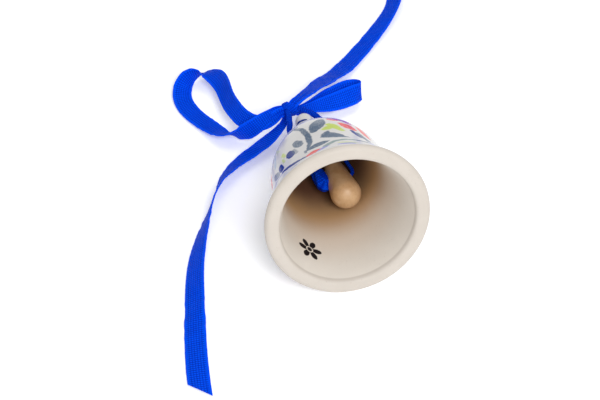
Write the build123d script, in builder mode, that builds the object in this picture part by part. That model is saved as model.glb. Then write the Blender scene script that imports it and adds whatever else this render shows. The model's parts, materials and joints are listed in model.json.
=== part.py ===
from build123d import *
from math import cos, radians, sin
import os

# A small porcelain bell lying on its side, mouth towards -Y, with a clay clapper and a tied ribbon.
# Z = 0 is the table. The origin is on the table, at the middle of everything the object covers,
# which is under the crown, where the ribbon is tied. Lengths are in millimetres.

# ---- Driving dimensions: bell ----
RIM_RADIUS = 22.5  # outside of the lip
LIP_ROUND = 1.6  # outside rounding of the lip
LAND_OUTER = 20.9  # flat land of the lip, on which the bell can stand upright
LAND_INNER = 19.4
MOUTH_RADIUS = 18.4
MOUTH_ROUND = 1.0
CROWN_INSIDE = 46.2  # height of the hollow above the rim plane
KNOB_BASE = 54.0  # height at which the dome becomes the knob
KNOB_RADIUS = 2.8
KNOB_CENTRE = 59.5  # height of the centre of the knob's round top
LEAN = 14.0  # degrees the axis drops from the horizontal, mouth to crown, as the bell lies
RIM_Y = -60.0  # where the rim touches the table

# ---- Driving dimensions: crown holes ----
HOLE_OFFSET = 4.6  # from the bell's axis
HOLE_RADIUS = 1.3
HOLE_ROLL = 18.0  # degrees the line through both holes is turned, right end up
HOLE_BOTTOM = 44.5  # heights at which the ribbon enters and leaves the holes
HOLE_TOP = 52.6

# ---- Driving dimensions: clapper ----
CLAPPER_FAT = 4.4  # radius of the striking end
CLAPPER_THIN = 2.9  # radius of the end near the crown
CLAPPER_SPAN = 10.0  # between the centres of both round ends
EYE_FROM_FAT = 5.5  # cross hole, measured from the centre of the striking end
EYE_RADIUS = 1.35
EYE_REACH = 4.5  # from the eye's middle to where the ribbon turns up on each side

# ---- Driving dimensions: ribbon ----
RIBBON_WIDTH = 6.0
RIBBON_THICK = 0.4
STRAND_RADIUS = 0.8  # the ribbon rolled up where it passes the crown
SECTION_STEP = 1.6  # spacing of the cross-sections a flat stretch is lofted through
BEND_STATION = 3  # the station of each tail at which it bends, counted from the knot
JOINT_GAP = 0.4  # free length between two flat stretches that turn against each other
STUB_SHORT = 0.2  # how far the ribbon in a crown hole stops short of the hole's mouth
STRAND_START = 0.9  # how far beyond the mouth the turning strand starts
KNOT = Vector(-4.3, 9.5, 8.5)
KNOT_SIZE = (4.2, 3.2, 4.4)
KNOT_ROUND = 1.3

os.makedirs("parts", exist_ok=True)

# ---- The bell's own directions in the lying pose ----
bell_axis = Vector(0, cos(radians(LEAN)), -sin(radians(LEAN)))
bell_upper = Vector(0, sin(radians(LEAN)), cos(radians(LEAN)))
rim_drop = LIP_ROUND * sin(radians(LEAN))  # the round of the lip reaches lower than its land
mouth = Vector(0, RIM_Y, rim_drop) + bell_upper * RIM_RADIUS


def in_bell(x, upper, height):
    """Point at x to the right, upper above the bell's axis and height up from the rim plane."""
    return mouth + Vector(x, 0, 0) + bell_upper * upper + bell_axis * height


profile_plane = Plane(origin=mouth, x_dir=(1, 0, 0), z_dir=bell_upper)
hole_x = HOLE_OFFSET * cos(radians(HOLE_ROLL))
hole_upper = HOLE_OFFSET * sin(radians(HOLE_ROLL))

# ---- Bell: one revolved wall with knob, then two holes through the crown ----
with BuildPart() as bell_shell:
    with BuildSketch(profile_plane) as wall:
        with BuildLine() as outline:
            land = Line((LAND_INNER, 0), (LAND_OUTER, 0))
            lip = TangentArc(land @ 1, (RIM_RADIUS, LIP_ROUND), tangent=(1, 0))
            body = Spline(
                lip @ 1,
                (22.1, 2.7),
                (20.3, 5.5),
                (18.6, 11.0),
                (17.1, 19.0),
                (16.0, 27.0),
                (13.7, 35.0),
                (10.0, 42.0),
                (6.9, 48.0),
                (4.4, 52.0),
                (KNOB_RADIUS, KNOB_BASE),
            )
            neck = Line(body @ 1, (KNOB_RADIUS, KNOB_CENTRE))
            knob = TangentArc(neck @ 1, (0, KNOB_CENTRE + KNOB_RADIUS), tangent=(0, 1))
            axis_line = Line(knob @ 1, (0, CROWN_INSIDE))
            hollow = Spline(
                axis_line @ 1,
                (2.6, 45.6),
                (5.2, 43.7),
                (7.8, 40.0),
                (10.8, 34.0),
                (12.9, 27.0),
                (14.2, 19.0),
                (15.7, 11.0),
                (17.3, 4.5),
                (MOUTH_RADIUS, MOUTH_ROUND),
            )
            TangentArc(land @ 0, hollow @ 1, tangent=(-1, 0))
        make_face()
    revolve(axis=Axis(mouth, bell_axis))
    with BuildSketch(Plane(origin=mouth, x_dir=(1, 0, 0), z_dir=bell_axis)):
        # This plane's Y points at the table, so the right hole, the upper one, has a negative Y.
        with Locations((hole_x, -hole_upper), (-hole_x, hole_upper)):
            Circle(HOLE_RADIUS)
    extrude(amount=KNOB_CENTRE, mode=Mode.SUBTRACT)
bell_shell.part.label = "bell_shell"
export_step(bell_shell.part, "parts/bell_shell.step")

# ---- Clapper: a clay pear hanging off the axis, its fat end near the lower wall ----
clapper_fat_end = in_bell(5.0, -6.7, 26.4)
clapper_up = (Vector(-0.12, 0, 0) + bell_upper * 0.27 + bell_axis * 0.955).normalized()
eye_centre = clapper_fat_end + clapper_up * EYE_FROM_FAT
eye_guess = Vector(-0.97, 0, 0) - bell_upper * 0.12
eye_axis = (eye_guess - clapper_up * eye_guess.dot(clapper_up)).normalized()

with BuildPart() as clapper:
    with BuildSketch(Plane(origin=clapper_fat_end, x_dir=eye_axis, z_dir=eye_axis.cross(clapper_up))):
        with BuildLine():
            fat_arc = CenterArc((0, 0), CLAPPER_FAT, -90, 100)
            thin_arc = CenterArc((0, CLAPPER_SPAN), CLAPPER_THIN, 10, 80)
            Line(fat_arc @ 1, thin_arc @ 0)
            Line(thin_arc @ 1, fat_arc @ 0)
        make_face()
    revolve(axis=Axis(clapper_fat_end, clapper_up))
    with BuildSketch(Plane(origin=eye_centre, z_dir=eye_axis)):
        Circle(EYE_RADIUS)
    extrude(amount=2 * CLAPPER_FAT, both=True, mode=Mode.SUBTRACT)
clapper.part.label = "clapper"
export_step(clapper.part, "parts/clapper.step")


# ---- Rolled ribbon: round strands along a smooth path ----
def strand(points, radius):
    """A round strand of rolled ribbon through the given points."""
    with BuildPart() as rolled:
        with BuildLine() as path:
            Spline(*points)
        with BuildSketch(Plane(origin=path.line @ 0, z_dir=path.line % 0)):
            Circle(radius)
        sweep()
    return rolled.part


with BuildPart() as hole_ribbon:
    for side in (-1, 1):
        start = in_bell(side * hole_x, side * hole_upper, HOLE_BOTTOM + STUB_SHORT)
        with BuildSketch(Plane(origin=start, z_dir=bell_axis)):
            Circle(STRAND_RADIUS)
    extrude(amount=HOLE_TOP - HOLE_BOTTOM - 2 * STUB_SHORT, dir=tuple(bell_axis))
hole_ribbon.part.label = "hole_ribbon"
export_step(hole_ribbon.part, "parts/hole_ribbon.step")

# The loop inside the bell: down from the left hole, through the clapper's eye, up to the right one.
left_elbow = eye_centre + eye_axis * EYE_REACH
right_elbow = eye_centre - eye_axis * EYE_REACH
left_inner = strand(
    [
        in_bell(-hole_x, -hole_upper, HOLE_BOTTOM - STRAND_START),
        in_bell(-3.2, -2.4, 39.0),
        in_bell(-0.9, -4.2, 34.0),
        left_elbow,
    ],
    STRAND_RADIUS,
)
right_inner = strand(
    [
        in_bell(hole_x, hole_upper, HOLE_BOTTOM - STRAND_START),
        in_bell(6.4, -0.6, 39.5),
        in_bell(8.0, -3.0, 35.6),
        right_elbow,
    ],
    STRAND_RADIUS,
)
with BuildPart() as clapper_ribbon:
    with BuildSketch(Plane(origin=eye_centre, z_dir=eye_axis)):
        Circle(STRAND_RADIUS)
    extrude(amount=EYE_REACH, both=True)
    with Locations(left_elbow, right_elbow):
        Sphere(STRAND_RADIUS)
    add([left_inner, right_inner])
clapper_ribbon.part.label = "clapper_ribbon"
export_step(clapper_ribbon.part, "parts/clapper_ribbon.step")

# The two strands outside: the left one rises beside the knob, the right one arches over it.
left_strand = strand(
    [
        in_bell(-hole_x, -hole_upper, HOLE_TOP + STRAND_START),
        in_bell(-5.2, -0.3, 55.0),
        in_bell(-4.8, 0.9, 58.0),
        in_bell(-4.3, 1.9, 61.0),
        in_bell(-4.3, 2.4, 62.7),
    ],
    STRAND_RADIUS,
)
right_strand = strand(
    [
        in_bell(hole_x, hole_upper, HOLE_TOP + STRAND_START),
        in_bell(4.9, 1.2, 56.0),
        in_bell(4.1, 0.9, 60.0),
        in_bell(2.4, 1.3, 62.8),
        in_bell(0.8, 1.9, 63.5),
        in_bell(-0.9, 2.4, 64.0),
    ],
    STRAND_RADIUS,
)
with BuildPart() as hanger_ribbon:
    add([left_strand, right_strand])
hanger_ribbon.part.label = "hanger_ribbon"
export_step(hanger_ribbon.part, "parts/hanger_ribbon.step")

# ---- Knot: the tight wraps in the middle of the bow ----
with BuildPart() as knot:
    with Locations(Location(KNOT, (0, 20, 35))):
        Box(*KNOT_SIZE)
    fillet(knot.edges(), KNOT_ROUND)
knot.part.label = "knot"
export_step(knot.part, "parts/knot.step")


# ---- Flat ribbon: stretches lofted through stations ----
def section(point, ahead, lean, width):
    """The ribbon's cross-section: lean is the angle of its width above the level, in degrees."""
    level = Vector(0, 0, 1).cross(ahead).normalized()
    across = level.rotate(Axis((0, 0, 0), ahead), lean)
    return Plane(origin=point, x_dir=across, z_dir=ahead), width


def eased(marks, values, at):
    """A smooth value between stations, each value belonging to its mark along the ribbon."""
    slopes = [0.0] * len(marks)
    for i in range(1, len(marks) - 1):
        slopes[i] = (values[i + 1] - values[i - 1]) / (marks[i + 1] - marks[i - 1])
    last = max(i for i in range(len(marks) - 1) if marks[i] <= at)
    span = marks[last + 1] - marks[last]
    s = (at - marks[last]) / span
    rise = 3 * s**2 - 2 * s**3
    start_pull = s * (1 - s) ** 2 * span * slopes[last]
    end_pull = s**2 * (1 - s) * span * slopes[last + 1]
    return values[last] * (1 - rise) + values[last + 1] * rise + start_pull - end_pull


def ribbon_sections(stations):
    """Close-set sections square to the smooth path through stations of (x, y, z, lean, width)."""
    points = [Vector(x, y, z) for x, y, z, lean, width in stations]
    path = Spline(*points)
    marks = [path.param_at_point(point) for point in points]
    leans = [lean for x, y, z, lean, width in stations]
    widths = [width for x, y, z, lean, width in stations]
    sections = []
    for start, end, near, far in zip(points, points[1:], marks, marks[1:]):
        parts = max(1, round((end - start).length / SECTION_STEP))
        for k in range(parts):
            at = near + (far - near) * k / parts
            sections.append(section(path @ at, path % at, eased(marks, leans, at), eased(marks, widths, at)))
    sections.append(section(points[-1], path % 1, leans[-1], widths[-1]))
    return sections


def flat_ribbon(sections):
    """One closed stretch of flat ribbon through its sections."""
    with BuildPart() as stretch:
        for plane, width in sections:
            with BuildSketch(plane):
                Rectangle(width, RIBBON_THICK)
        loft(ruled=True)
    return stretch.part


def gap_after(item, length):
    """The same section moved on along the ribbon, which leaves a free gap for a bend."""
    plane, width = item
    return plane.offset(length), width


full = RIBBON_WIDTH

# Left loop: behind and under itself to the table, flat round the far side, then back above itself.
bow_loop_left = flat_ribbon(
    ribbon_sections(
        [
            (-7.4, 8.9, 8.4, 130, 3.4),
            (-12.4, 7.8, 5.9, 122, 5.0),
            (-17.5, 6.9, 3.6, 100, full),
            (-21.3, 6.8, 3.0, 50, full),
            (-25.6, 12.0, 1.6, 8, full),
            (-30.0, 19.5, 0.8, 0, full),
            (-33.0, 27.0, 0.8, 0, full),
            (-32.8, 33.2, 1.6, 20, full),
            (-29.3, 37.2, 3.5, 85, full),
            (-24.8, 36.8, 4.5, 155, full),
            (-22.0, 32.6, 5.3, 203, full),
            (-20.9, 27.2, 6.0, 224, full),
            (-20.5, 19.9, 6.7, 231, full),
            (-19.2, 12.7, 7.7, 234, full),
            (-17.2, 6.9, 8.9, 233, 5.6),
            (-14.2, 4.3, 9.3, 231, 5.0),
            (-10.9, 4.4, 9.5, 230, 4.4),
            (-7.0, 6.9, 9.6, 230, 3.2),
        ]
    )
)
bow_loop_left.label = "bow_loop_left"
export_step(bow_loop_left, "parts/bow_loop_left.step")

# Right loop: smaller, standing on its edge and leaning back, its far layer lower than the near one.
bow_loop_right = flat_ribbon(
    ribbon_sections(
        [
            (-0.8, 9.2, 7.0, 50, 2.6),
            (4.2, 11.3, 6.3, 48, 3.4),
            (9.4, 12.8, 5.6, 46, 5.2),
            (14.4, 14.4, 5.2, 46, full),
            (19.0, 16.3, 5.0, 54, full),
            (21.4, 18.3, 4.5, 106, full),
            (18.6, 20.2, 3.9, 126, full),
            (14.0, 18.9, 3.9, 132, full),
            (8.8, 16.3, 4.5, 133, 5.0),
            (3.8, 13.3, 5.3, 132, 3.2),
            (-0.8, 11.0, 6.3, 130, 2.4),
        ]
    )
)
bow_loop_right.label = "bow_loop_right"
export_step(bow_loop_right, "parts/bow_loop_right.step")

# Right tail: down from the knot to the table, then away behind the bell.
right_tail = [
    (-1.7, 9.8, 10.4, -8, 3.2),
    (2.8, 14.2, 9.5, -12, 4.6),
    (9.2, 21.8, 6.6, -12, full),
    (17.2, 31.0, 2.5, -4, full),
    (27.6, 43.0, 1.0, -5, full),
    (38.4, 56.0, 1.6, -20, full),
    (44.1, 66.0, 2.0, -30, full),
    (45.3, 75.0, 1.4, -15, full),
    (43.4, 83.35, 0.5, 0, full),
]
# Left tail: forward past the bell, on edge half way, then flat on the table to its cut end.
left_tail = [
    (-5.4, 6.6, 5.7, 10, 2.8),
    (-13.0, 1.2, 3.2, 12, 5.6),
    (-22.6, -5.4, 2.4, 30, full),
    (-31.0, -18.6, 3.2, 75, full),
    (-36.6, -32.0, 2.7, 50, full),
    (-39.8, -41.9, 2.2, 36, full),
    (-42.3, -55.9, 1.6, 24, full),
    (-43.9, -67.4, 1.0, 12, full),
    (-45.0, -78.6, 0.6, 4, full),
    (-45.3, -84.5, 0.5, 0, full),
]

for name, stations in (("tail_right", right_tail), ("tail_left", left_tail)):
    tail = ribbon_sections(stations)
    x, y, z, lean, width = stations[BEND_STATION]
    bend = min(range(len(tail)), key=lambda i: (tail[i][0].origin - Vector(x, y, z)).length)
    upper = flat_ribbon(tail[: bend + 1])
    upper.label = name + "_upper"
    export_step(upper, f"parts/{name}_upper.step")
    lower = flat_ribbon([gap_after(tail[bend], JOINT_GAP)] + tail[bend + 1 :])
    lower.label = name + "_lower"
    export_step(lower, f"parts/{name}_lower.step")
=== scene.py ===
import heapq
import json
import math

import bmesh
import bpy
import numpy as np
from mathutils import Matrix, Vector, noise


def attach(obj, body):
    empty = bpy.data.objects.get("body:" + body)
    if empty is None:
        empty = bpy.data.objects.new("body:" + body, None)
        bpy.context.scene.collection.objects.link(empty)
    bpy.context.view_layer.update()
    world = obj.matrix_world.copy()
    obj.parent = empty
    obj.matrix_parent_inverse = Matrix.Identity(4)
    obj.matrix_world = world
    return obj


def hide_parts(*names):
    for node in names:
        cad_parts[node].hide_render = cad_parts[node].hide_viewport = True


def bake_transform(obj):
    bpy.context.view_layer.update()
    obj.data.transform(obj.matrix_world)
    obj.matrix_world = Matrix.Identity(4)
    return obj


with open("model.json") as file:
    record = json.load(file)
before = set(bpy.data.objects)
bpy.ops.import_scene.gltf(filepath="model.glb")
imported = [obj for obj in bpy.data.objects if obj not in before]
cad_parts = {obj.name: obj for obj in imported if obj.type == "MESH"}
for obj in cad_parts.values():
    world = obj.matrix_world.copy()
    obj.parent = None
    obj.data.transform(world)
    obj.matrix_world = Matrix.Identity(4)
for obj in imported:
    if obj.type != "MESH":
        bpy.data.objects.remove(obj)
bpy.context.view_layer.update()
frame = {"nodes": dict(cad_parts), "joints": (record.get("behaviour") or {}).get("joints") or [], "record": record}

MM = 0.001

# ---- What the frame says: joints, the bell's own directions, the places of knot and crown ----
# Lengths are in metres. Paint is placed in degrees round the bell and in millimetres up from the rim.
joints = {j["name"]: j for j in frame["joints"]}
rim_land = [m for m in frame["record"]["mounts"] if m["name"] == "rim_land"][0]
knot_at = Vector(joints["bow_left_lift"]["pos_m"])
knot_middle = knot_at + Vector((0.9, -0.8, 0.6)) * MM  # the wraps sit a little proud of the joint's place
crown_top = Vector(joints["hanger_swing"]["pos_m"])
eye_at = Vector(joints["clapper_rock"]["pos_m"])
bell_axis = -Vector(rim_land["axis"]).normalized()
bell_side = Vector((1, 0, 0))
bell_upper = bell_side.cross(bell_axis)
mouth = Vector(rim_land["pos_m"])
mouth.x = 0.0


# ---------------------------------------------------------------- node helpers
class Graph:
    """Short names for building a material out of nodes."""

    def __init__(self, tree):
        self.tree = tree

    def put(self, target, value):
        if isinstance(value, bpy.types.NodeSocket):
            self.tree.links.new(value, target)
        elif value is not None:
            target.default_value = value

    def math(self, kind, a, b=None, clamp=False):
        node = self.tree.nodes.new("ShaderNodeMath")
        node.operation = kind
        node.use_clamp = clamp
        self.put(node.inputs[0], a)
        self.put(node.inputs[1], b)
        return node.outputs[0]

    def vector(self, kind, a, b=None, scale=None):
        node = self.tree.nodes.new("ShaderNodeVectorMath")
        node.operation = kind
        self.put(node.inputs[0], a)
        self.put(node.inputs[1], b)
        if scale is not None:
            self.put(node.inputs["Scale"], scale)
        return node.outputs["Value"] if kind in ("DOT_PRODUCT", "LENGTH") else node.outputs["Vector"]

    def mix(self, share, a, b):
        node = self.tree.nodes.new("ShaderNodeMix")
        node.data_type = "RGBA"
        self.put(node.inputs["Factor"], share)
        self.put(node.inputs["A"], a if isinstance(a, bpy.types.NodeSocket) else (*a, 1))
        self.put(node.inputs["B"], b if isinstance(b, bpy.types.NodeSocket) else (*b, 1))
        return [s for s in node.outputs if s.type == "RGBA"][0]

    def ramp(self, value, low, high, out_low=0.0, out_high=1.0):
        node = self.tree.nodes.new("ShaderNodeMapRange")
        node.interpolation_type = "SMOOTHSTEP"
        for key, number in (("From Min", low), ("From Max", high), ("To Min", out_low), ("To Max", out_high)):
            self.put(node.inputs[key], number)
        self.put(node.inputs["Value"], value)
        return node.outputs[0]

    def noise(self, where, scale, detail=2.0, rough=0.5):
        node = self.tree.nodes.new("ShaderNodeTexNoise")
        self.put(node.inputs["Vector"], where)
        node.inputs["Scale"].default_value = scale
        node.inputs["Detail"].default_value = detail
        node.inputs["Roughness"].default_value = rough
        return node.outputs["Fac"]

    def combine(self, x, y, z=0.0):
        node = self.tree.nodes.new("ShaderNodeCombineXYZ")
        for socket, value in zip(node.inputs, (x, y, z)):
            self.put(socket, value)
        return node.outputs[0]

    def place(self):
        return self.tree.nodes.new("ShaderNodeTexCoord").outputs["Object"]

    def carried(self, name):
        node = self.tree.nodes.new("ShaderNodeAttribute")
        node.attribute_name = name
        return node.outputs["Fac"]

    def bump(self, height, distance, strength=1.0):
        node = self.tree.nodes.new("ShaderNodeBump")
        node.inputs["Strength"].default_value = strength
        node.inputs["Distance"].default_value = distance
        self.put(node.inputs["Height"], height)
        return node.outputs[0]


def new_material(name):
    material = bpy.data.materials.new(name)
    material.use_nodes = True
    shader = material.node_tree.nodes["Principled BSDF"]
    return material, Graph(material.node_tree), shader


# ---------------------------------------------------------------- porcelain
def dab_group():
    """One brush dab: a stroke from A to B with end radii and a belly, as a soft mask. All in millimetres."""
    tree = bpy.data.node_groups.new("dab", "ShaderNodeTree")
    for name in ("P", "A", "B"):
        tree.interface.new_socket(name, in_out="INPUT", socket_type="NodeSocketVector")
    for name in ("Start", "End", "Belly", "Soft"):
        tree.interface.new_socket(name, in_out="INPUT", socket_type="NodeSocketFloat")
    tree.interface.new_socket("Mask", in_out="OUTPUT", socket_type="NodeSocketFloat")
    inside = tree.nodes.new("NodeGroupInput").outputs
    g = Graph(tree)
    reach = g.vector("SUBTRACT", inside["B"], inside["A"])
    from_a = g.vector("SUBTRACT", inside["P"], inside["A"])
    onward = g.vector("DOT_PRODUCT", from_a, reach)
    share = g.math("DIVIDE", onward, g.vector("DOT_PRODUCT", reach, reach), clamp=True)
    nearest = g.vector("SCALE", reach, scale=share)
    distance = g.vector("LENGTH", g.vector("SUBTRACT", from_a, nearest))
    back = g.math("SUBTRACT", 1.0, share)
    start_part = g.math("MULTIPLY", inside["Start"], back)
    radius = g.math("ADD", start_part, g.math("MULTIPLY", inside["End"], share))
    belly = g.math("MULTIPLY", g.math("MULTIPLY", share, back), g.math("MULTIPLY", inside["Belly"], 4.0))
    over = g.math("SUBTRACT", distance, g.math("ADD", radius, belly))
    out = tree.nodes.new("NodeGroupOutput")
    soft = g.math("MULTIPLY", inside["Soft"], -1.0)
    tree.links.new(g.ramp(over, soft, inside["Soft"], 1.0, 0.0), out.inputs["Mask"])
    return tree


SLATE = (0.085, 0.135, 0.215)
COBALT = (0.004, 0.028, 0.220)
LEAF = (0.540, 0.660, 0.110)
CORAL = (0.820, 0.090, 0.085)
MAGENTA = (0.520, 0.030, 0.300)
LAVENDER = (0.250, 0.260, 0.640)
PALE = (0.300, 0.430, 0.620)
SAGE = (0.240, 0.330, 0.330)

MM_PER_DEGREE = 0.293  # along the belly of the bell
PATTERN_FROM = -80.0  # the painted pattern repeats three times round the bell
PATTERN_SPAN = 120.0

# Each dab: colour, strength (above 1 it hides the glaze), (degree, height) of both ends, end radii,
# belly and softness.
DABS = [
    # crown: the blue line at the foot of the knob
    (COBALT, 1.3, (-70.0, 57.0), (-34.0, 56.3), 0.40, 0.50, 0.10, 0.12),
    (COBALT, 1.3, (-34.0, 56.3), (4.0, 55.8), 0.50, 0.32, 0.10, 0.12),
    # large grey oval
    (SLATE, 0.85, (-13.5, 23.6), (-2.6, 31.0), 1.20, 1.30, 1.10, 0.25),
    # swirl, begun in cobalt
    (COBALT, 1.3, (-40.5, 32.9), (-28.5, 32.4), 0.36, 0.50, 0.25, 0.15),
    (SLATE, 0.75, (-31.0, 31.6), (-24.2, 28.4), 0.50, 0.70, 0.10, 0.22),
    (SLATE, 0.80, (-24.2, 28.4), (-20.8, 22.8), 0.70, 0.80, 0.10, 0.22),
    (SLATE, 0.85, (-20.8, 22.8), (-21.2, 16.8), 0.80, 0.75, 0.10, 0.22),
    (SLATE, 0.85, (-21.2, 16.8), (-25.0, 12.6), 0.75, 0.35, 0.10, 0.22),
    # leaf that springs from the swirl's foot
    (SLATE, 0.85, (-26.0, 12.0), (-5.6, 13.2), 0.35, 0.20, 1.20, 0.22),
    # half leaf on the right of it
    (SLATE, 0.85, (-10.0, 17.4), (13.6, 14.8), 0.35, 0.10, 0.85, 0.22),
    (SLATE, 0.80, (-8.0, 18.0), (-1.6, 20.8), 0.70, 0.35, 0.45, 0.22),
    (SLATE, 0.80, (-3.0, 19.0), (9.0, 16.6), 0.90, 0.35, 0.40, 0.22),
    (SLATE, 0.85, (-6.4, 17.9), (7.0, 16.2), 1.00, 0.70, 0.30, 0.22),
    # dots on the left
    (SLATE, 0.75, (-34.6, 22.4), (-30.2, 18.9), 0.95, 1.00, 0.35, 0.25),
    (COBALT, 1.30, (-44.2, 19.6), (-40.4, 16.4), 0.95, 1.00, 0.35, 0.18),
    (SLATE, 0.55, (-38.4, 18.9), (-35.4, 15.6), 0.55, 0.50, 0.15, 0.30),
    (SLATE, 0.70, (-27.8, 12.6), (-27.2, 10.9), 0.35, 0.25, 0.10, 0.18),
    # yellow-green blotches
    (LEAF, 0.80, (-3.6, 22.8), (2.6, 23.6), 0.90, 1.10, 0.30, 0.40),
    (LEAF, 0.85, (2.8, 25.8), (7.6, 23.8), 1.00, 1.20, 0.30, 0.40),
    (LEAF, 0.80, (7.4, 23.4), (12.0, 20.8), 1.00, 0.70, 0.20, 0.40),
    (LEAF, 0.70, (-51.6, 22.6), (-48.8, 20.2), 0.60, 0.40, 0.10, 0.30),
    (LEAF, 0.60, (-53.0, 20.4), (-50.6, 17.6), 0.30, 0.45, 0.10, 0.30),
    (LEAF, 0.40, (-62.0, 31.0), (-56.0, 27.0), 0.30, 0.45, 0.20, 0.40),
    # coral and magenta petals on the right
    (CORAL, 0.90, (16.0, 26.6), (25.6, 23.2), 1.00, 1.00, 0.95, 0.30),
    (CORAL, 0.95, (34.6, 27.4), (38.2, 19.2), 0.75, 0.60, 0.55, 0.28),
    (CORAL, 0.80, (6.0, 31.0), (14.0, 29.6), 0.60, 0.55, 0.30, 0.35),
    (MAGENTA, 1.15, (8.0, 32.2), (18.0, 30.6), 0.70, 0.80, 0.35, 0.25),
    (MAGENTA, 1.15, (22.4, 30.4), (27.0, 28.0), 0.65, 0.65, 0.15, 0.22),
    # short pair of strokes, blue and slate
    (COBALT, 1.25, (21.8, 21.6), (26.0, 16.8), 0.55, 0.42, 0.20, 0.18),
    (SLATE, 1.00, (27.0, 20.4), (31.6, 14.8), 0.60, 0.66, 0.25, 0.22),
    # left edge: dot, leaf, pale stroke
    (COBALT, 1.30, (-58.0, 18.6), (-54.6, 14.6), 0.70, 0.80, 0.20, 0.18),
    (SLATE, 0.70, (-70.6, 19.8), (-60.4, 14.0), 0.30, 0.50, 0.90, 0.25),
    (PALE, 0.60, (-64.0, 29.0), (-66.0, 22.4), 0.40, 0.55, 0.25, 0.35),
    # garland round the lower wall
    (LAVENDER, 0.60, (-80.4, 13.0), (-66.0, 13.2), 0.26, 0.30, 0.10, 0.25),
    (LAVENDER, 0.60, (-66.0, 13.2), (-52.0, 12.0), 0.30, 0.30, 0.10, 0.25),
    (COBALT, 1.25, (-54.0, 12.8), (-44.0, 10.8), 0.40, 0.55, 0.10, 0.15),
    (COBALT, 1.25, (-44.0, 10.8), (-35.6, 9.2), 0.55, 0.50, 0.10, 0.15),
    (COBALT, 1.05, (-35.6, 9.2), (-23.6, 7.4), 0.44, 0.36, 0.06, 0.15),
    (CORAL, 0.95, (-25.2, 8.2), (-17.2, 8.6), 0.85, 0.75, 0.45, 0.30),
    (LAVENDER, 0.80, (-17.0, 7.6), (-9.4, 9.4), 0.45, 0.50, 0.15, 0.28),
    (SAGE, 0.80, (-11.0, 9.8), (-1.6, 12.0), 0.62, 0.58, 0.10, 0.22),
    (SAGE, 0.80, (-1.6, 12.0), (8.0, 12.6), 0.58, 0.52, 0.06, 0.22),
    (SAGE, 0.80, (8.0, 12.6), (19.0, 12.4), 0.52, 0.44, 0.06, 0.22),
    (SLATE, 0.80, (19.0, 12.4), (30.0, 12.8), 0.44, 0.40, 0.06, 0.20),
    (LAVENDER, 0.75, (30.0, 12.8), (40.4, 13.2), 0.44, 0.36, 0.06, 0.25),
    (LEAF, 0.55, (1.0, 10.2), (14.6, 10.0), 0.30, 0.30, 0.20, 0.35),
    (LAVENDER, 0.80, (0.0, 8.8), (13.0, 9.2), 0.36, 0.38, 0.15, 0.25),
    (LAVENDER, 0.50, (26.0, 9.6), (38.0, 10.4), 0.24, 0.30, 0.10, 0.25),
    (LAVENDER, 0.50, (-78.0, 10.2), (-58.0, 9.4), 0.24, 0.30, 0.10, 0.25),
]


# Painted shade: the hollow's colour darkens towards the crown, where shade falls. Heights between which each tone
# comes in, and the tone.
HOLLOW_SHADE_TONES = (
    (5.0, 17.0, (0.700, 0.610, 0.520)),
    (14.5, 27.0, (0.480, 0.295, 0.145)),
    (23.5, 36.0, (0.100, 0.045, 0.026)),
)


def painted_glaze(g, place, turn, height, mottle):
    """The glaze with its pattern: the same three times round, with hand-drawn wavering."""
    cycle = g.math("FLOORED_MODULO", g.math("SUBTRACT", turn, PATTERN_FROM), PATTERN_SPAN)
    flat = g.combine(g.math("MULTIPLY", g.math("ADD", cycle, PATTERN_FROM), MM_PER_DEGREE), height)
    tremble = g.tree.nodes.new("ShaderNodeTexNoise")
    tremble.inputs["Scale"].default_value = 900.0
    tremble.inputs["Detail"].default_value = 3.0
    g.put(tremble.inputs["Vector"], place)
    shift = g.vector("SCALE", g.vector("SUBTRACT", tremble.outputs["Color"], (0.5, 0.5, 0.5)), scale=0.55)
    flat = g.vector("ADD", flat, shift)
    flat = g.vector("MULTIPLY", flat, (1.0, 1.0, 0.0))

    streak = g.noise(g.vector("MULTIPLY", flat, (1.4, 0.35, 1.0)), 1.6, 3.0, 0.6)
    uneven = g.math("ADD", g.math("MULTIPLY", mottle, 0.45), g.math("MULTIPLY", streak, 0.55))
    pigment = g.ramp(uneven, 0.28, 0.62, 0.88, 1.25)
    painted = g.mix(g.noise(place, 60.0), (0.690, 0.675, 0.670), (0.745, 0.730, 0.715))
    group = dab_group()
    for colour, strength, start, end, start_radius, end_radius, belly, soft in DABS:
        dab = g.tree.nodes.new("ShaderNodeGroup")
        dab.node_tree = group
        g.put(dab.inputs["P"], flat)
        dab.inputs["A"].default_value = (start[0] * MM_PER_DEGREE, start[1], 0.0)
        dab.inputs["B"].default_value = (end[0] * MM_PER_DEGREE, end[1], 0.0)
        dab.inputs["Start"].default_value = start_radius
        dab.inputs["End"].default_value = end_radius
        dab.inputs["Belly"].default_value = belly
        dab.inputs["Soft"].default_value = soft
        cover = g.math("MULTIPLY", g.math("MULTIPLY", dab.outputs["Mask"], strength), pigment, clamp=True)
        painted = g.mix(cover, painted, colour)
    return painted


STAMP_TURN = -145.0  # degrees round the bell
STAMP_HEIGHT = 10.2
STAMP_SIZE = 3.7  # length of a petal
STAMP_WALL = 15.8  # the hollow's radius there


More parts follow.
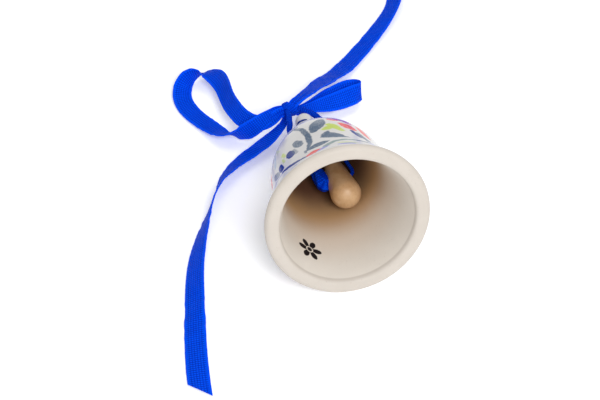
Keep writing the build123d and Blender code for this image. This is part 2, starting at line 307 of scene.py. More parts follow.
def flower_stamp(g, place, turn, height):
    """Mask of a plain flower with six petals, low on the inner wall."""
    sideways = g.math("MULTIPLY", g.math("SUBTRACT", turn, STAMP_TURN), math.radians(STAMP_WALL))
    lengthways = g.math("SUBTRACT", height, STAMP_HEIGHT)
    away = g.vector("LENGTH", g.combine(sideways, lengthways))
    spin = g.math("ARCTAN2", lengthways, sideways)
    petal = g.math("ABSOLUTE", g.math("COSINE", g.math("MULTIPLY", spin, 3.0)))
    edge = g.math("MULTIPLY", g.math("POWER", petal, 0.55), STAMP_SIZE)
    rough_edge = g.math("MULTIPLY", g.math("SUBTRACT", g.noise(place, 2500.0), 0.5), 0.5)
    inked = g.ramp(g.math("SUBTRACT", g.math("ADD", away, rough_edge), edge), -0.15, 0.12, 1.0, 0.0)
    ring = g.ramp(g.math("ABSOLUTE", g.math("SUBTRACT", away, 0.95)), 0.12, 0.24)
    heart = g.ramp(away, 0.65, 0.80, 1.0, 0.0)
    return g.math("MAXIMUM", g.math("MULTIPLY", inked, ring), heart)


def bell_material():
    """White glaze with a painted pattern outside, bare cream body on the lip and inside, painted shade deep
    inside, a stamp inside.
    """
    material, g, shader = new_material("porcelain")
    place = g.place()
    local = g.vector("SCALE", g.vector("SUBTRACT", place, tuple(mouth)), scale=1 / MM)
    across = g.vector("DOT_PRODUCT", local, tuple(bell_side))
    upward = g.vector("DOT_PRODUCT", local, tuple(bell_upper))
    height = g.vector("DOT_PRODUCT", local, tuple(bell_axis))
    turn = g.math("MULTIPLY", g.math("ARCTAN2", across, upward), math.degrees(1.0))
    depth = g.carried("inside")
    land = g.carried("lip")
    mottle = g.noise(place, 350.0, 4.0, 0.6)
    painted = painted_glaze(g, place, turn, height, mottle)

    # bare body: cream lip, and inside a painted shade that grows warmer and darker towards the crown
    fleck = g.ramp(g.noise(place, 2600.0, 1.0), 0.70, 0.78)
    cloud = g.noise(place, 160.0, 3.0)
    cream = g.mix(cloud, (0.545, 0.495, 0.440), (0.625, 0.575, 0.520))
    cream = g.mix(g.math("MULTIPLY", fleck, 0.25), cream, (0.300, 0.200, 0.130))
    hollow = g.mix(cloud, (0.690, 0.640, 0.575), (0.760, 0.710, 0.645))
    # painted shade: each tone darkens the hollow further towards the crown
    for low, high, tone in HOLLOW_SHADE_TONES:
        hollow = g.mix(g.ramp(height, low, high), hollow, tone)
    hollow = g.mix(g.math("MULTIPLY", fleck, 0.20), hollow, (0.250, 0.160, 0.100))
    ink = g.math("MULTIPLY", flower_stamp(g, place, turn, height), g.ramp(depth, 0.4, 0.6))
    hollow = g.mix(ink, hollow, (0.012, 0.009, 0.012))

    colour = g.mix(g.ramp(land, 0.35, 0.65), painted, cream)
    colour = g.mix(g.ramp(depth, 0.30, 0.70), colour, hollow)
    g.put(shader.inputs["Base Color"], colour)
    bare = g.math("ADD", g.math("MAXIMUM", land, depth), g.math("MULTIPLY", cloud, 0.06))
    g.put(shader.inputs["Roughness"], g.ramp(bare, 0.0, 1.0, 0.16, 0.42))
    shader.inputs["Specular IOR Level"].default_value = 0.08
    shader.inputs["Coat Weight"].default_value = 0.03
    shader.inputs["Coat Roughness"].default_value = 0.08
    relief = g.math("ADD", cloud, g.math("MULTIPLY", mottle, 0.15))
    g.put(shader.inputs["Normal"], g.bump(relief, 0.00012, 0.5))
    return material


# ---------------------------------------------------------------- clay and ribbon
def clay_material():
    """Bare fired clay: tan, cloudy, with fine specks and a faint smoothed sheen."""
    material, g, shader = new_material("clay")
    place = g.place()
    cloud = g.noise(place, 220.0, 4.0, 0.6)
    colour = g.mix(g.ramp(cloud, 0.3, 0.7), (0.470, 0.270, 0.125), (0.600, 0.390, 0.215))
    fleck = g.ramp(g.noise(place, 3200.0, 1.0), 0.66, 0.76)
    colour = g.mix(g.math("MULTIPLY", fleck, 0.45), colour, (0.230, 0.120, 0.060))
    g.put(shader.inputs["Base Color"], colour)
    g.put(shader.inputs["Roughness"], g.ramp(cloud, 0.3, 0.7, 0.34, 0.46))
    grain = g.noise(place, 2200.0, 3.0, 0.65)
    g.put(shader.inputs["Normal"], g.bump(g.math("ADD", g.math("MULTIPLY", cloud, 0.6), grain), 0.00010, 0.6))
    return material


RIB = 0.68  # distance between the ribbon's cross ribs, in mm
ROW = 0.72  # distance between its lengthwise rows
SELVAGE = 2.25  # where the plain woven edge starts, from the middle
DEEP_BLUE = (0.0004, 0.0160, 0.3600)
ROYAL_BLUE = (0.0008, 0.0720, 0.8600)
SHEEN_BLUE = (0.0040, 0.1900, 0.9400)


def ribbon_material(name, painted_shade=0.0):
    """Blue woven ribbon: cross ribs and lengthwise rows between two plain edges; the second argument darkens it
    all, as painted shade.
    """
    material, g, shader = new_material(name)
    place = g.place()
    along = g.carried("along")
    across = g.carried("across")
    rib = g.math("MULTIPLY_ADD", g.math("COSINE", g.math("MULTIPLY", along, 2 * math.pi / RIB)), 0.5)
    rib.node.inputs[2].default_value = 0.5
    row = g.math("MULTIPLY_ADD", g.math("COSINE", g.math("MULTIPLY", across, 2 * math.pi / ROW)), 0.5)
    row.node.inputs[2].default_value = 0.5
    plain = g.ramp(g.math("ABSOLUTE", across), SELVAGE, SELVAGE + 0.25)
    weave = g.math("MULTIPLY", g.math("POWER", rib, 0.6), g.math("POWER", row, 0.35))
    woven = g.math("MULTIPLY", weave, g.math("SUBTRACT", 1.0, plain))
    weave = g.math("ADD", woven, g.math("MULTIPLY", plain, 0.75))
    fibres = g.combine(g.math("MULTIPLY", along, 6.0), g.math("MULTIPLY", across, 2.5))
    thread = g.noise(fibres, 1.0, 3.0, 0.7)
    wear = g.noise(place, 260.0, 3.0, 0.6)
    unevenness = g.math("MULTIPLY", g.math("ADD", thread, wear), 0.26)
    tone = g.math("ADD", g.math("MULTIPLY", weave, 0.62), unevenness)
    # painted shade: the whole colour is darkened for the rolled cords
    tone = g.math("SUBTRACT", tone, painted_shade, clamp=True)
    colour = g.mix(g.ramp(tone, 0.10, 0.85), DEEP_BLUE, ROYAL_BLUE)
    glint = g.math("MULTIPLY", g.ramp(thread, 0.52, 0.72), 0.50)
    colour = g.mix(glint, colour, SHEEN_BLUE)
    g.put(shader.inputs["Base Color"], colour)
    g.put(shader.inputs["Roughness"], g.ramp(thread, 0.2, 0.8, 0.62, 0.46))
    shader.inputs["Specular IOR Level"].default_value = 0.05
    shader.inputs["Specular Tint"].default_value = (0.05, 0.45, 1.0, 1.0)
    height = g.math("ADD", weave, g.math("MULTIPLY", thread, 0.5))
    g.put(shader.inputs["Normal"], g.bump(height, 0.00010, 0.75))
    return material


# ---------------------------------------------------------------- mesh helpers
def add_piece(name, points, faces, material, carried=None):
    """A smooth mesh object with float attributes for its material."""
    mesh = bpy.data.meshes.new(name)
    mesh.from_pydata([tuple(p) for p in points], [], faces)
    for key, values in (carried or {}).items():
        layer = mesh.attributes.new(key, "FLOAT", "POINT")
        layer.data.foreach_set("value", np.asarray(values, np.float32).ravel())
    mesh.validate()
    mesh.shade_smooth()
    mesh.materials.append(material)
    piece = bpy.data.objects.new(name, mesh)
    bpy.context.scene.collection.objects.link(piece)
    return piece


def welded(node):
    """A CAD node's mesh with its coinciding corners joined."""
    bm = bmesh.new()
    bm.from_mesh(frame["nodes"][node].data)
    bmesh.ops.remove_doubles(bm, verts=bm.verts, dist=2e-6)
    bm.verts.ensure_lookup_table()
    return bm


def lengths(points):
    """Distance travelled along a row of points."""
    steps = np.linalg.norm(np.diff(points, axis=0), axis=1)
    return np.concatenate([[0.0], np.cumsum(steps)])


def resample(points, count):
    """The same path with evenly spaced points."""
    travelled = lengths(points)
    at = np.linspace(0.0, travelled[-1], count)
    return np.stack([np.interp(at, travelled, points[:, i]) for i in range(points.shape[1])], 1)


def smoothed(values, reach):
    """Rows of numbers averaged with their neighbours; both ends stay where they are."""
    reach = int(reach)
    if reach < 1:
        return values
    offsets = np.arange(-2 * reach, 2 * reach + 1)
    weights = np.exp(-0.5 * (offsets / reach) ** 2)
    weights /= weights.sum()
    head = 2 * values[0] - values[2 * reach:0:-1]
    tail = 2 * values[-1] - values[-2:-2 * reach - 2:-1]
    long = np.concatenate([head, values, tail])
    return sum(w * long[i:i + len(values)] for i, w in enumerate(weights))


def waver(point, scale, seed):
    """Smooth random number between about -1 and 1 at a place."""
    return noise.noise(Vector(point) * scale + Vector((seed * 3.7, seed * 1.3, seed * 2.1)))


# ---------------------------------------------------------------- bell and clapper
def cut_outline(node, origin, along, towards):
    """Radius and height of a turned CAD node's outline, from its top on the axis round to the other end."""
    bm = welded(node)
    everything = bm.verts[:] + bm.edges[:] + bm.faces[:]
    normal = along.cross(towards)
    bmesh.ops.bisect_plane(bm, geom=everything, dist=1e-8, plane_co=origin, plane_no=normal, clear_outer=True)
    flat = {}
    for v in bm.verts:
        offset = v.co - origin
        if abs(offset.dot(normal)) < 1e-7:
            flat[v] = (offset.dot(towards), offset.dot(along))
    links = {v: [] for v in flat}
    for e in bm.edges:
        a, b = e.verts
        if e.is_boundary and a in flat and b in flat:
            links[a].append(b)
            links[b].append(a)
    # the walk starts at the highest point and goes down on the side where the radius grows
    start = max((v for v in flat if links[v]), key=lambda v: flat[v][1] - abs(flat[v][0]))
    ahead = max(links[start], key=lambda v: flat[v][0])
    walk = [start, ahead]
    while True:
        onward = [v for v in links[walk[-1]] if v is not walk[-2]]
        if not onward or flat[onward[0]][0] < 0:
            break
        walk.append(onward[0])
    outline = np.array([flat[v] for v in walk])
    bm.free()
    outline[0, 0] = 0.0
    return np.vstack([outline, [0.0, outline[-1, 1]]])


def turned_mesh(name, outline, origin, along, zero, quarter, steps, material, hand, carried=None):
    """Turns an outline about an axis. hand is how uneven the surface is, in metres."""
    points = [origin + along * outline[0, 1]]
    rows = len(outline) - 2
    for radius, height in outline[1:-1]:
        for k in range(steps):
            angle = 2 * math.pi * k / steps
            outward = zero * math.cos(angle) + quarter * math.sin(angle)
            spot = origin + along * height + outward * radius
            points.append(spot + outward * (hand * waver(spot, 90.0, 1)))
    points.append(origin + along * outline[-1, 1])
    faces = []
    for k in range(steps):
        following = (k + 1) % steps
        faces.append((0, 1 + k, 1 + following))
        last = 1 + (rows - 1) * steps
        faces.append((len(points) - 1, last + following, last + k))
        for i in range(rows - 1):
            here, below = 1 + i * steps, 1 + (i + 1) * steps
            faces.append((here + k, below + k, below + following, here + following))
    shared = {}
    for key, values in (carried or {}).items():
        shared[key] = np.concatenate([values[:1], np.repeat(values[1:-1], steps), values[-1:]])
    return add_piece(name, points, faces, material, shared)


def pierce(piece, centre, along, radius, reach):
    """Cuts a round hole through a piece."""
    side = along.orthogonal().normalized()
    other = along.cross(side)
    count = 48
    points = []
    for end in (-reach, reach):
        for k in range(count):
            angle = 2 * math.pi * k / count
            points.append(centre + along * end + (side * math.cos(angle) + other * math.sin(angle)) * radius)
    faces = [tuple(reversed(range(count))), tuple(range(count, 2 * count))]
    faces += [(k, (k + 1) % count, count + (k + 1) % count, count + k) for k in range(count)]
    cutter = add_piece("cutter", points, faces, piece.data.materials[0])
    cutting = piece.modifiers.new("hole", "BOOLEAN")
    cutting.operation = "DIFFERENCE"
    cutting.solver = "EXACT"
    cutting.object = cutter
    bpy.context.view_layer.update()
    evaluated = piece.evaluated_get(bpy.context.evaluated_depsgraph_get())
    finished = bpy.data.meshes.new_from_object(evaluated)
    piece.modifiers.clear()
    piece.data = finished
    bpy.data.objects.remove(cutter)


def hole_centres():
    """Middle of the ribbon in each crown hole: left, right."""
    co = np.array([v.co for v in frame["nodes"]["hole_ribbon"].data.vertices])
    halves = co[co[:, 0] < 0], co[co[:, 0] > 0]
    return [Vector((half.min(0) + half.max(0)) / 2) for half in halves]


RIBBON_HOLE = 1.25 * MM  # radius of every hole the rolled ribbon goes through
CROWN_REACH = 7 * MM  # half length of the cut through the crown
EYE_REACH = 9 * MM
LIP_ABOVE = 0.35 * MM  # the bare lip starts this far before the widest place, along the outline
LIP_PAST = 5.2 * MM  # and ends this far after it, where the hollow begins
GLAZE_EDGE = 0.5 * MM  # lengths over which one surface goes over into the next
HOLLOW_EDGE = 1.2 * MM


def evened(outline, reach, fine_count, count):
    """A turned outline without its facets, closed on the axis at both ends."""
    fine = resample(outline, fine_count)
    fine[:, 0] = smoothed(fine[:, 0], reach)
    fine[:, 1] = smoothed(fine[:, 1], reach)
    outline = resample(fine, count)
    outline[0, 0] = outline[-1, 0] = 0.0
    return outline


def build_bell(material):
    away = (bell_upper - bell_side * 0.32).normalized()  # clear of the crown holes
    outline = evened(cut_outline("bell_shell", mouth, bell_axis, away), 3, 1400, 300)
    travelled = lengths(outline)
    widest = travelled[int(np.argmax(outline[:, 0]))]
    lip = np.clip((travelled - widest + LIP_ABOVE) / GLAZE_EDGE, 0, 1)
    inside = np.clip((travelled - widest - LIP_PAST) / HOLLOW_EDGE, 0, 1)
    bell = turned_mesh("bell", outline, mouth, bell_axis, bell_upper, bell_side, 224, material, 0.00008,
                       {"lip": lip, "inside": inside})
    for centre in hole_centres():
        pierce(bell, centre, bell_axis, RIBBON_HOLE, CROWN_REACH)
    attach(bell, "bell")
    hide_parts("bell_shell")


def build_clapper(material):
    co = np.array([v.co for v in frame["nodes"]["clapper"].data.vertices])
    eye_axis = Vector(joints["clapper_rock"]["axis"]).normalized()
    # its long axis: the direction in which its corners spread most, pointing away from the fat end
    fat_end = Vector(max(co, key=lambda p: (Vector(p) - eye_at).length))
    spread = co - co.mean(0)
    long_axis = Vector(np.linalg.eigh(spread.T @ spread)[1][:, -1])
    along = long_axis if long_axis.dot(fat_end - eye_at) < 0 else -long_axis
    along = (along - eye_axis * along.dot(eye_axis)).normalized()
    towards = along.cross(eye_axis).normalized()
    outline = evened(cut_outline("clapper", eye_at, along, towards), 6, 500, 90)
    quarter = along.cross(towards)
    clapper = turned_mesh("clapper_clay", outline, eye_at, along, towards, quarter, 96, material, 0.00022)
    pierce(clapper, eye_at, eye_axis, RIBBON_HOLE, EYE_REACH)
    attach(clapper, "clapper")
    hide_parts("clapper")


# ---------------------------------------------------------------- flat ribbon
def ribbon_ends(bm):
    """The narrow faces that close a flat ribbon: middle, width across and direction out of the ribbon."""
    ends = []
    for e in bm.edges:
        if len(e.link_faces) != 2 or e.calc_face_angle(0.0) > 0.02:
            continue
        around = [rim for face in e.link_faces for rim in face.edges if rim is not e]
        if all(len(rim.link_faces) == 2 and rim.calc_face_angle(0.0) > math.radians(72) for rim in around):
            longest = max(around, key=lambda rim: rim.calc_length())
            a, b = longest.verts
            middle = (e.verts[0].co + e.verts[1].co) / 2
            ends.append((np.array(middle), np.array(b.co - a.co), np.array(e.link_faces[0].normal)))
    return ends


def cut_across(points, faces, middle, normal):
    """Middle and width of the closed cut nearest to a point, where a plane goes through a ribbon."""
    side = (points - middle) @ normal
    crossing = faces[(side[faces].min(1) < 0) & (side[faces].max(1) >= 0)]
    ends = {}
    for face in crossing:
        keys = []
        for i, j in ((face[0], face[1]), (face[1], face[2]), (face[2], face[0])):
            if (side[i] < 0) != (side[j] < 0):
                keys.append((min(i, j), max(i, j)))
        ends.setdefault(keys[0], []).append(keys[1])
        ends.setdefault(keys[1], []).append(keys[0])
    best = None
    seen = set()
    for start in ends:
        if start in seen:
            continue
        loop, todo = [], [start]
        seen.add(start)
        while todo:
            key = todo.pop()
            loop.append(key)
            for other in ends[key]:
                if other not in seen:
                    seen.add(other)
                    todo.append(other)
        i, j = np.array(loop).T
        share = (side[i] / (side[i] - side[j]))[:, None]
        cut = points[i] * (1 - share) + points[j] * share
        apart = cut[:, None] - cut[None]
        reach = np.linalg.norm(apart, axis=2)
        m, n = np.unravel_index(reach.argmax(), reach.shape)
        centre = (cut[m] + cut[n]) / 2
        off = np.linalg.norm(centre - middle)
        if best is None or off < best[0]:
            best = (off, centre, apart[m, n])
    return best


def walk_along(points, faces, start, stop):
    """Middles and widths of the cuts from one end of a ribbon, and whether the walk came to the other end."""
    middle, width, travel = start[0], start[1], -start[2]
    course = [(middle, width)]
    step = 0.4 * MM
    for _ in range(1000):
        found = cut_across(points, faces, middle + travel * step, travel)
        if found is None or found[0] > 2 * step:
            return course[:-2], False
        onward = found[1] - middle
        travel = travel + onward / np.linalg.norm(onward)
        travel /= np.linalg.norm(travel)
        middle = found[1]
        width = found[2] if found[2] @ width > 0 else -found[2]
        course.append((middle, width))
        if len(course) > 20 and np.linalg.norm(middle - stop[0]) < 1.2 * step:
            return course, True
    return course, False


def round_the_fold(last, before, after, following):
    """Rows that carry a ribbon round a fold that is too sharp to be cut across."""
    gap = np.linalg.norm(after[0] - last[0])
    leave, arrive = last[0] - before[0], following[0] - after[0]
    leave, arrive = leave / np.linalg.norm(leave) * gap * 1.8, arrive / np.linalg.norm(arrive) * gap * 1.8
    rows = []
    for s in np.linspace(0.0, 1.0, 14)[1:-1]:
        middle = last[0] * (2 * s**3 - 3 * s**2 + 1) + leave * (s**3 - 2 * s**2 + s)
        middle = middle + after[0] * (3 * s**2 - 2 * s**3) + arrive * (s**3 - s**2)
        rows.append((middle, last[1] + (after[1] - last[1]) * s))
    return rows


def ribbon_course(node):
    """Both long edges of a flat CAD ribbon, as rows of points, from the end nearer the knot."""
    bm = welded(node)
    bmesh.ops.triangulate(bm, faces=bm.faces)
    bm.normal_update()
    bm.verts.ensure_lookup_table()
    points = np.array([v.co for v in bm.verts])
    faces = np.array([[v.index for v in f.verts] for f in bm.faces])
    ends = ribbon_ends(bm)
    bm.free()
    ends.sort(key=lambda end: np.linalg.norm(end[0] - np.array(knot_at)))
    start, stop = ends[0], ends[-1]
    course, whole = walk_along(points, faces, start, stop)
    if whole:
        back = [stop]
    else:
        back = walk_along(points, faces, stop, start)[0][::-1]
    if back[0][1] @ course[-1][1] < 0:
        back = [(row[0], -row[1]) for row in back]
    if not whole:
        course = course + round_the_fold(course[-1], course[-2], back[0], back[1])
    course = course + back
    middles = np.array([c[0] for c in course])
    widths = np.array([c[1] for c in course])
    return middles - widths / 2, middles + widths / 2


def soft_step(x):
    x = np.clip(x, 0.0, 1.0)
    return x * x * (3 - 2 * x)


class Strip:
    """The middle line of a flat ribbon with its width direction, read off the CAD ribbon's edges."""

    ROWS = 1200
    SMOOTHING = 0.6 * MM

    def __init__(self, *nodes, both_ends=False):
        left, right = ribbon_course(nodes[0])
        for node in nodes[1:]:
            a, b = ribbon_course(node)
            if np.linalg.norm(a[0] - left[-1]) > np.linalg.norm(b[0] - left[-1]):
                a, b = b, a
            left, right = np.vstack([left, a]), np.vstack([right, b])
        left, right = self.into_knot(left[::-1], right[::-1])
        left, right = left[::-1], right[::-1]
        if both_ends:
            left, right = self.into_knot(left, right)
        both = resample(np.hstack([left, right]), self.ROWS)
        left, right = both[:, :3], both[:, 3:]
        middle = (left + right) / 2
        reach = self.SMOOTHING / (lengths(middle)[-1] / self.ROWS)
        self.width = smoothed(right - left, reach)
        self.settle(smoothed(middle, reach))

    @staticmethod
    def into_knot(left, right):
        """The last rows of a ribbon's edges, led on into the middle of the knot."""
        middle, half = (left[-1] + right[-1]) / 2, (right[-1] - left[-1]) / 2
        inside = np.array(knot_middle) + (middle - np.array(knot_middle)) * 0.22
        steps = np.linspace(0.0, 1.0, 9)[1:, None]
        rows = middle + (inside - middle) * steps
        half = half * (1 - 0.15 * steps)
        return np.vstack([left, rows - half]), np.vstack([right, rows + half])

    def settle(self, middle):
        """Takes a middle line and measures along it."""
        self.middle = middle
        self.at = lengths(middle)
        self.length = self.at[-1]
        self.travel = np.gradient(middle, self.at, axis=0)

    def nudge(self, centre, reach, offset):
        """Move a stretch aside, less and less on both sides of its centre."""
        share = 1 - soft_step(np.abs(self.at - centre) / reach)
        self.settle(self.middle + share[:, None] * np.array(offset))

    def pick(self, values, where):
        return np.stack([np.interp(where, self.at, values[:, i]) for i in range(3)], -1)

    def place(self, where):
        """Middle point, width direction, face direction and width at distances along the ribbon."""
        inner = np.clip(where, 0.0, self.length)
        travel = self.pick(self.travel, inner)
        travel /= np.linalg.norm(travel, axis=-1, keepdims=True)
        middle = self.pick(self.middle, inner) + travel * (where - inner)[..., None]
        width = self.pick(self.width, inner)
        size = np.linalg.norm(width, axis=-1)
        width = width - travel * (width * travel).sum(-1, keepdims=True)
        width /= np.linalg.norm(width, axis=-1, keepdims=True)
        return middle, width, np.cross(travel, width), size


FULL_WIDTH = 6.0 * MM
HALF_THICK = 0.17 * MM


def ring_faces(rings, around):
    """Faces of a closed tube of rings, with both ends capped."""
    faces = [tuple(reversed(range(around))), tuple(range((rings - 1) * around, rings * around))]
    for i in range(rings - 1):
        for k in range(around):
            following = (k + 1) % around
            here, ahead = i * around, (i + 1) * around
            faces.append((here + k, here + following, ahead + following, ahead + k))
    return faces


def ribbon_piece(name, strip, material, seed, gathers, cut=0.0):
    """A woven ribbon along a strip. gathers: (where, reach, depth) of pleats; cut: slant of the far end."""
    step = 0.28 * MM
    rows = int(strip.length / step) + 1
    columns = 29
    where = np.linspace(0.0, strip.length, rows)[:, None] * np.ones((1, columns))
    u = np.linspace(-1.0, 1.0, columns)[None, :] * np.ones((rows, 1))
    slant = soft_step((where - strip.length + 9 * MM) / (9 * MM))
    where = where + u * slant * cut / 2
    middle, width, face, size = strip.place(where)
    size = np.minimum(size, FULL_WIDTH)
    lift = 0.10 * MM * (1 - u * u)
    for centre, reach, depth in gathers:
        share = 1 - soft_step(np.abs(where - centre) / reach)
        ridges = np.cos(u * 8.4 + seed) + 0.45 * np.cos(u * 15.1 + 2.3 * seed)
        lift = lift + share * depth * ridges * 0.6
    wave = [[waver((w / MM, 2.2 * q, seed), 0.22, seed) for w, q in zip(*row)] for row in zip(where, u)]
    lift = lift + np.array(wave) * 0.08 * MM
    edge = 1.0 + np.array([[0.012 * waver((w / MM, 9.0, seed), 0.8, seed)] for w in where[:, 0]])
    centre_line = middle + width * (u * edge * size / 2)[..., None] + face * lift[..., None]
    bead = np.where(np.abs(u) > 0.985, 0.35, np.where(np.abs(u) > 0.90, 1.35, 1.0))
    half = (HALF_THICK * bead)[..., None] * face
    top, bottom = centre_line + half, centre_line - half
    points = np.concatenate([top, bottom[:, ::-1]], axis=1).reshape(-1, 3)
    along = np.concatenate([where, where[:, ::-1]], axis=1) / MM
    across = np.concatenate([u, u[:, ::-1]], axis=1) * FULL_WIDTH / 2 / MM
    weave = {"along": along, "across": across}
    return add_piece(name, points, ring_faces(rows, 2 * columns), material, weave)


# ---------------------------------------------------------------- rolled ribbon
def strand_paths(node, start_near):
    """Middle line of every round strand of a CAD node, each from its end nearer to a place."""
    bm = welded(node)
    index = {v: i for i, v in enumerate(bm.verts)}
    free = set(bm.verts)
    paths = []
    while free:
        first = min(free, key=lambda v: index[v])
        island, queue = {first}, [first]
        while queue:
            v = queue.pop()
            for e in v.link_edges:
                w = e.other_vert(v)
                if w not in island:
                    island.add(w)
                    queue.append(w)
        free -= island
        start = min(island, key=lambda v: (v.co - start_near).length)
        cap = [v for v in island if (v.co - start.co).length < 1.0 * MM]
        reach = {v: 0.0 for v in cap}
        heap = [(0.0, index[v]) for v in cap]
        while heap:
            d, i = heapq.heappop(heap)
            v = bm.verts[i]
            if d > reach[v]:
                continue
            for e in v.link_edges:
                w = e.other_vert(v)
                there = d + e.calc_length()
                if there < reach.get(w, 1e9):
                    reach[w] = there
                    heapq.heappush(heap, (there, index[w]))
        # even samples on every face, gathered by how far from the start they are
        samples, far = [], []
        for f in (f for f in bm.faces if f.verts[0] in island):
            a, b, c = (v.co for v in f.verts[:3])
            ra, rb, rc = (reach[v] for v in f.verts[:3])
            n = int(math.ceil(f.calc_area() / (0.02 * MM * MM))) + 1
            for k in range(n):
                p, q = (k * 0.754877 + 0.5) % 1, (k * 0.569840 + 0.5) % 1
                if p + q > 1:
                    p, q = 1 - p, 1 - q
                samples.append(a + (b - a) * p + (c - a) * q)
                far.append(ra + (rb - ra) * p + (rc - ra) * q)
        samples, far = np.array(samples), np.array(far)
        count = max(6, int(far.max() / (0.7 * MM)))
        which = np.minimum((far / far.max() * count).astype(int), count - 1)
        line = np.array([samples[which == k].mean(0) for k in range(count) if (which == k).any()])
        paths.append(line)
    bm.free()
    return paths


def rolled_piece(name, path, material, seed, radii):
    """A ribbon rolled and twisted into a cord along a path. radii: (share of the path, radius in mm)."""
    count = max(24, int(lengths(path)[-1] / (0.22 * MM)))
    line = smoothed(resample(path, count), 3)
    far = lengths(line)
    travel = np.gradient(line, far, axis=0)
    travel /= np.linalg.norm(travel, axis=1, keepdims=True)
    side = Vector(travel[0]).orthogonal().normalized()
    around = 40
    points, along, across = [], [], []
    for i in range(count):
        t = Vector(travel[i])
        side = (side - t * side.dot(t)).normalized()
        other = t.cross(side)
        share = far[i] / far[-1]
        radius = np.interp(share, [r[0] for r in radii], [r[1] for r in radii]) * MM
        twist = 1.6 * share * far[-1] / FULL_WIDTH + seed
        for k in range(around):
            angle = 2 * math.pi * k / around
            fold = 0.16 * abs(math.sin(1.5 * angle + twist)) + 0.07 * math.sin(5 * angle - 2.2 * twist + seed)
            crumple = 0.10 * waver((i * 0.33, 2.0 * math.cos(angle), 2.0 * math.sin(angle)), 0.9, seed)
            outward = side * math.cos(angle) + other * math.sin(angle)
            points.append(Vector(line[i]) + outward * radius * (0.94 + fold * 0.9 + crumple))
            along.append(far[i] / MM)
            across.append(1.9 * math.sin(angle * 1.5 + twist))
    return add_piece(name, points, ring_faces(count, around), material, {"along": along, "across": across})


def knot_piece(name, material, along, radii, width):
    """Tight wraps round the middle of the bow: a ribbed band closed over on both sides."""
    along = Vector(along).normalized()
    front = Vector((0, -0.64, 0.77))
    front = (front - along * front.dot(along)).normalized()
    other = along.cross(front)
    around, rows = 72, 30
    points, run, across = [], [], []
    for i in range(rows):
        s = -1 + 2 * i / (rows - 1)
        crown = max(0.0, 1 - abs(s) ** 3.2) ** 0.5
        rib = 0.07 * math.cos(2 * math.pi * 2.5 * s) * crown
        for k in range(around):
            angle = 2 * math.pi * k / around
            slant = 0.22 * math.sin(angle) * width
            crease = 0.05 * waver((3 * s, 2 * math.cos(angle), 2 * math.sin(angle)), 1.5, 4)
            size = 0.72 + 0.28 * crown + rib + crease
            outward = front * (math.cos(angle) * radii[0]) + other * (math.sin(angle) * radii[1])
            points.append(knot_middle + along * (s * width / 2 + slant) + outward * size)
            run.append(angle * 2.2)
            across.append(2.1 * s)
    return add_piece(name, points, ring_faces(rows, around), material, {"along": run, "across": across})


# ---------------------------------------------------------------- the ribbon's pieces
LOOP_GATHER = (9 * MM, 0.42 * MM)  # how far the pleats reach from the knot, and how deep they are
TAIL_GATHER = (12 * MM, 0.40 * MM)
RUN_SHIFT = 3.1 * MM


def build_loops(material, left_loop, right_loop):
    # of the left loop's two runs, the one that comes from the table lies in front
    in_front = Vector((-0.14, -0.70, 0.70)) * RUN_SHIFT
    left_loop.nudge(9.5 * MM, 11.5 * MM, in_front)
    left_loop.nudge(left_loop.length - 12 * MM, 13.5 * MM, -in_front)
    loops = (
        ("bow_left", left_loop, "bow_loop_left", 1.0),
        ("bow_right", right_loop, "bow_loop_right", 2.4),
    )
    for body, strip, node, seed in loops:
        ends = ((0.0, *LOOP_GATHER), (strip.length, *LOOP_GATHER))
        piece = ribbon_piece(node + "_weave", strip, material, seed, ends)
        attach(piece, body)
        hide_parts(node)


def build_tails(material, left_tail, right_tail):
    # body, strip, hinge half way, seed and the slant of the cut end in mm
    tails = (
        ("tail_left", left_tail, "tail_left_sweep", 3.1, 4.6),
        ("tail_right", right_tail, "tail_right_lift", 5.2, -3.0),
    )
    for body, strip, hinge, seed, cut in tails:
        piece = ribbon_piece(body + "_weave", strip, material, seed, ((0.0, *TAIL_GATHER),), cut * MM)
        pivot = Vector(joints[hinge]["pos_m"])
        nearest = strip.at[np.argmin(np.linalg.norm(strip.middle - np.array(pivot), axis=1))]
        away = Vector(strip.pick(strip.travel, np.array([nearest]))[0]).normalized()
        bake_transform(piece)
        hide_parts(body + "_upper", body + "_lower")


def build_strands(material, holes):
    """Two rolled strands, out of the crown holes to the knot."""
    radii = ((0, 0.80), (0.4, 0.82), (0.75, 0.85), (1, 0.95))
    left_first = sorted(strand_paths("hanger_ribbon", crown_top), key=lambda path: path[0][0])
    for side, seed, hole, path in zip(("left", "right"), (1.0, 2.0), holes, left_first):
        out_of_hole = np.array(hole) + np.array(bell_axis) * 3.4 * MM
        into_knot = np.array(knot_at) * 0.75 + path[-1] * 0.25
        whole = np.vstack([np.array(hole), out_of_hole, path[1:-1], path[-1], into_knot])
        strand = rolled_piece("strand_" + side, whole, material, seed, radii)
        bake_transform(strand)
        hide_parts("hole_ribbon", "hanger_ribbon")


def build_clapper_loop(material, holes):
    """The loop inside the bell, crumpled on the left, where it goes into the clapper's eye."""
    radii = (
        (0, 0.80),
        (0.18, 0.85),
        (0.30, 1.7),
        (0.38, 2.15),
        (0.45, 1.75),
        (0.50, 0.80),
        (0.54, 0.50),
        (0.75, 0.50),
        (0.85, 0.60),
        (1, 0.80),
    )
    inner = strand_paths("clapper_ribbon", holes[0])[0]
    loop = rolled_piece("clapper_loop_weave", np.vstack([holes[0], inner, holes[1]]), material, 0.6, radii)
    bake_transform(loop)
    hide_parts("clapper_ribbon")


def build_knot(material, left_loop, right_tail):
    """Tight wraps, square to the line from the left loop's end to the right tail's start."""
    bow_line = Vector(right_tail.pick(right_tail.middle, np.array([4 * MM]))[0])
    bow_line = bow_line - Vector(left_loop.pick(left_loop.middle, np.array([left_loop.length - 3 * MM]))[0])
    knot = knot_piece("knot_wraps", material, bow_line, (1.9 * MM, 2.45 * MM), 2.5 * MM)
    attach(knot, "hanger")
    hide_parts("knot")


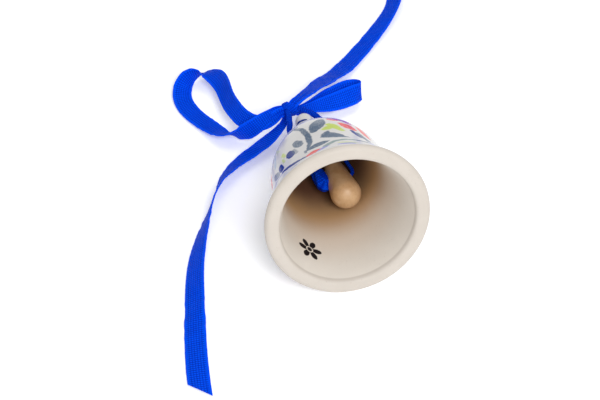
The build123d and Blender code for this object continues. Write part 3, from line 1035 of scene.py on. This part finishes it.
def build_ribbon(material, shaded_rolled_material):
    left_loop, right_loop = Strip("bow_loop_left", both_ends=True), Strip("bow_loop_right", both_ends=True)
    left_tail = Strip("tail_left_upper", "tail_left_lower")
    right_tail = Strip("tail_right_upper", "tail_right_lower")
    build_loops(material, left_loop, right_loop)
    build_tails(material, left_tail, right_tail)
    holes = hole_centres()
    build_strands(shaded_rolled_material, holes)
    build_clapper_loop(shaded_rolled_material, holes)
    build_knot(material, left_loop, right_tail)


# ---------------------------------------------------------------- studio
def build_floor():
    material, g, shader = new_material("floor")
    tone = g.noise(g.place(), 3.0)
    g.put(shader.inputs["Base Color"], g.mix(tone, (0.900, 0.900, 0.900), (0.915, 0.915, 0.915)))
    shader.inputs["Roughness"].default_value = 0.8
    shader.inputs["Specular IOR Level"].default_value = 0.1
    shader.inputs["Emission Color"].default_value = (1.0, 1.0, 1.0, 1.0)
    shader.inputs["Emission Strength"].default_value = 0.22
    size = 3.0
    corners = [(-size, -size, 0), (size, -size, 0), (size, size, 0), (-size, size, 0)]
    floor = add_piece("floor", corners, [(0, 1, 2, 3)], material)


def area_light(name, where, aim, size, power, colour=(1, 1, 1)):
    data = bpy.data.lights.new(name, "AREA")
    data.shape = "DISK"
    data.size = size
    data.energy = power
    data.color = colour
    light = bpy.data.objects.new(name, data)
    light.location = where
    light.rotation_euler = (Vector(aim) - Vector(where)).to_track_quat("-Z", "Y").to_euler()
    bpy.context.scene.collection.objects.link(light)


def build_studio():
    world = bpy.data.worlds.new("studio")
    world.use_nodes = True
    world.node_tree.nodes["Background"].inputs["Color"].default_value = (1.0, 1.0, 1.0, 1)
    world.node_tree.nodes["Background"].inputs["Strength"].default_value = 0.46
    bpy.context.scene.world = world
    build_floor()
    area_light("key", (0.08, -0.76, 0.72), (0, -0.04, 0.02), 0.45, 6.9)
    area_light("top", (0.15, 0.20, 0.80), (0, -0.02, 0.01), 0.60, 1.6)
    bpy.context.scene.view_settings.view_transform = "Standard"


AZIMUTH = -11.6  # the camera stands left of the line along the bell
ELEVATION = 44.3
DISTANCE = 373.2 * MM  # from the mouth's middle, along the line of sight
MOUTH_RIGHT = 12.9 * MM  # how far the mouth's middle is off the middle of the picture
MOUTH_BELOW = 6.0 * MM


def build_camera():
    azimuth, elevation = math.radians(AZIMUTH), math.radians(ELEVATION)
    level = Vector((-math.sin(azimuth), math.cos(azimuth), 0))
    look = level * math.cos(elevation) - Vector((0, 0, math.sin(elevation)))
    right = look.cross(Vector((0, 0, 1))).normalized()
    up = right.cross(look)
    data = bpy.data.cameras.new("camera")
    data.lens = 85.0
    data.sensor_width = 36.0
    data.clip_start = 0.01
    camera = bpy.data.objects.new("camera", data)
    camera.location = mouth - right * MOUTH_RIGHT + up * MOUTH_BELOW - look * DISTANCE
    camera.rotation_euler = look.to_track_quat("-Z", "Y").to_euler()
    bpy.context.scene.collection.objects.link(camera)
    bpy.context.scene.camera = camera


build_bell(bell_material())
build_clapper(clay_material())
# the rolled cords share the ribbon's colour, darkened by painted shade
build_ribbon(ribbon_material("ribbon"), ribbon_material("ribbon_rolled_shaded", 0.18))
build_studio()
build_camera()
